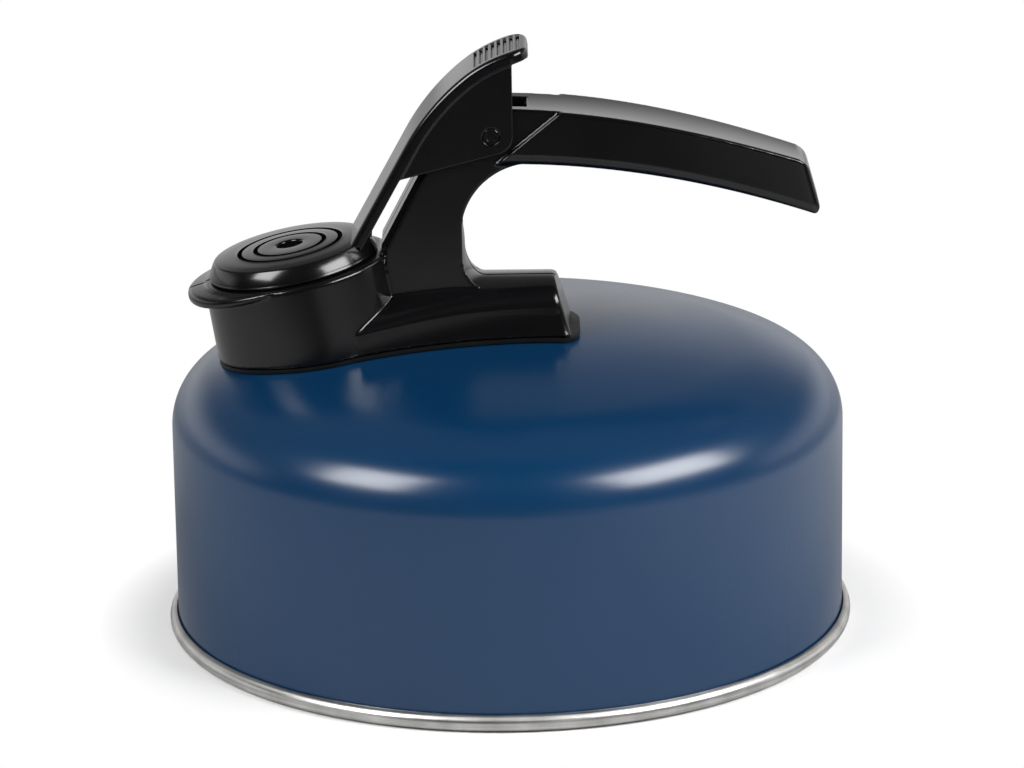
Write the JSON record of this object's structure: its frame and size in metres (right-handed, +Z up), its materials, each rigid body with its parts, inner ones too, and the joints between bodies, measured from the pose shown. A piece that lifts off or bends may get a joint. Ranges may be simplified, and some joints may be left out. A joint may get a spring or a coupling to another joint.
{
  "type": "whistling kettle",
  "caption": "Low round camping kettle with a pressed lid-less body, rolled base, one-piece handle and spout, and a thumb lever that lifts a whistle cap.",
  "frame": {"origin": "centre of the round base, on the plane the kettle stands on", "axes": "+Z up, -X towards the pouring lip, +X towards the end of the grip, y = 0 is the plane of symmetry"},
  "size_m": [0.2, 0.2, 0.1725],
  "materials": {
    "blue_paint": "satin gloss baked paint",
    "bare_aluminium": "rolled, brushed round the edge",
    "black_plastic": "glossy moulded phenolic plastic",
    "black_silicone": "matte",
    "grey_silicone": "matte",
    "steel": "bright stainless",
    "brass": "turned"
  },
  "bodies": {
    "kettle": {"kettle_shell": "blue_paint", "base_plate": "bare_aluminium", "seam_sealant": "grey_silicone", "handle_moulding": "black_plastic", "saddle_gasket": "black_silicone", "clamp_ring": "steel", "clamp_screw_1": "steel", "clamp_screw_2": "steel", "clamp_screw_3": "steel", "clamp_screw_4": "steel", "heel_screw": "steel", "heel_washer": "steel", "screw_seal_1": "grey_silicone", "screw_seal_2": "grey_silicone", "screw_seal_3": "grey_silicone", "screw_seal_4": "grey_silicone", "screw_seal_5": "grey_silicone", "threaded_insert_1": "brass", "threaded_insert_2": "brass", "threaded_insert_3": "brass", "threaded_insert_4": "brass", "threaded_insert_5": "brass", "return_spring": "steel"},
    "lever": {"whistle_lever": "black_plastic", "hinge_pin": "black_plastic", "cap_seal": "black_silicone", "whistle_housing": "steel", "whistle_upper_disc": "steel", "whistle_spacer": "steel", "whistle_lower_disc": "steel", "whistle_retainer": "steel"}
  },
  "joints": [
    {"name": "lever_hinge", "type": "hinge", "parent": "kettle", "child": "lever", "pos_m": [-0.0035, 0, 0.1475], "axis": [0, 1, 0], "range_deg": [0, 42], "stiffness_Nm_per_rad": 0.16, "springref_deg": -28.65, "deforming": ["return_spring"]}
  ]
}
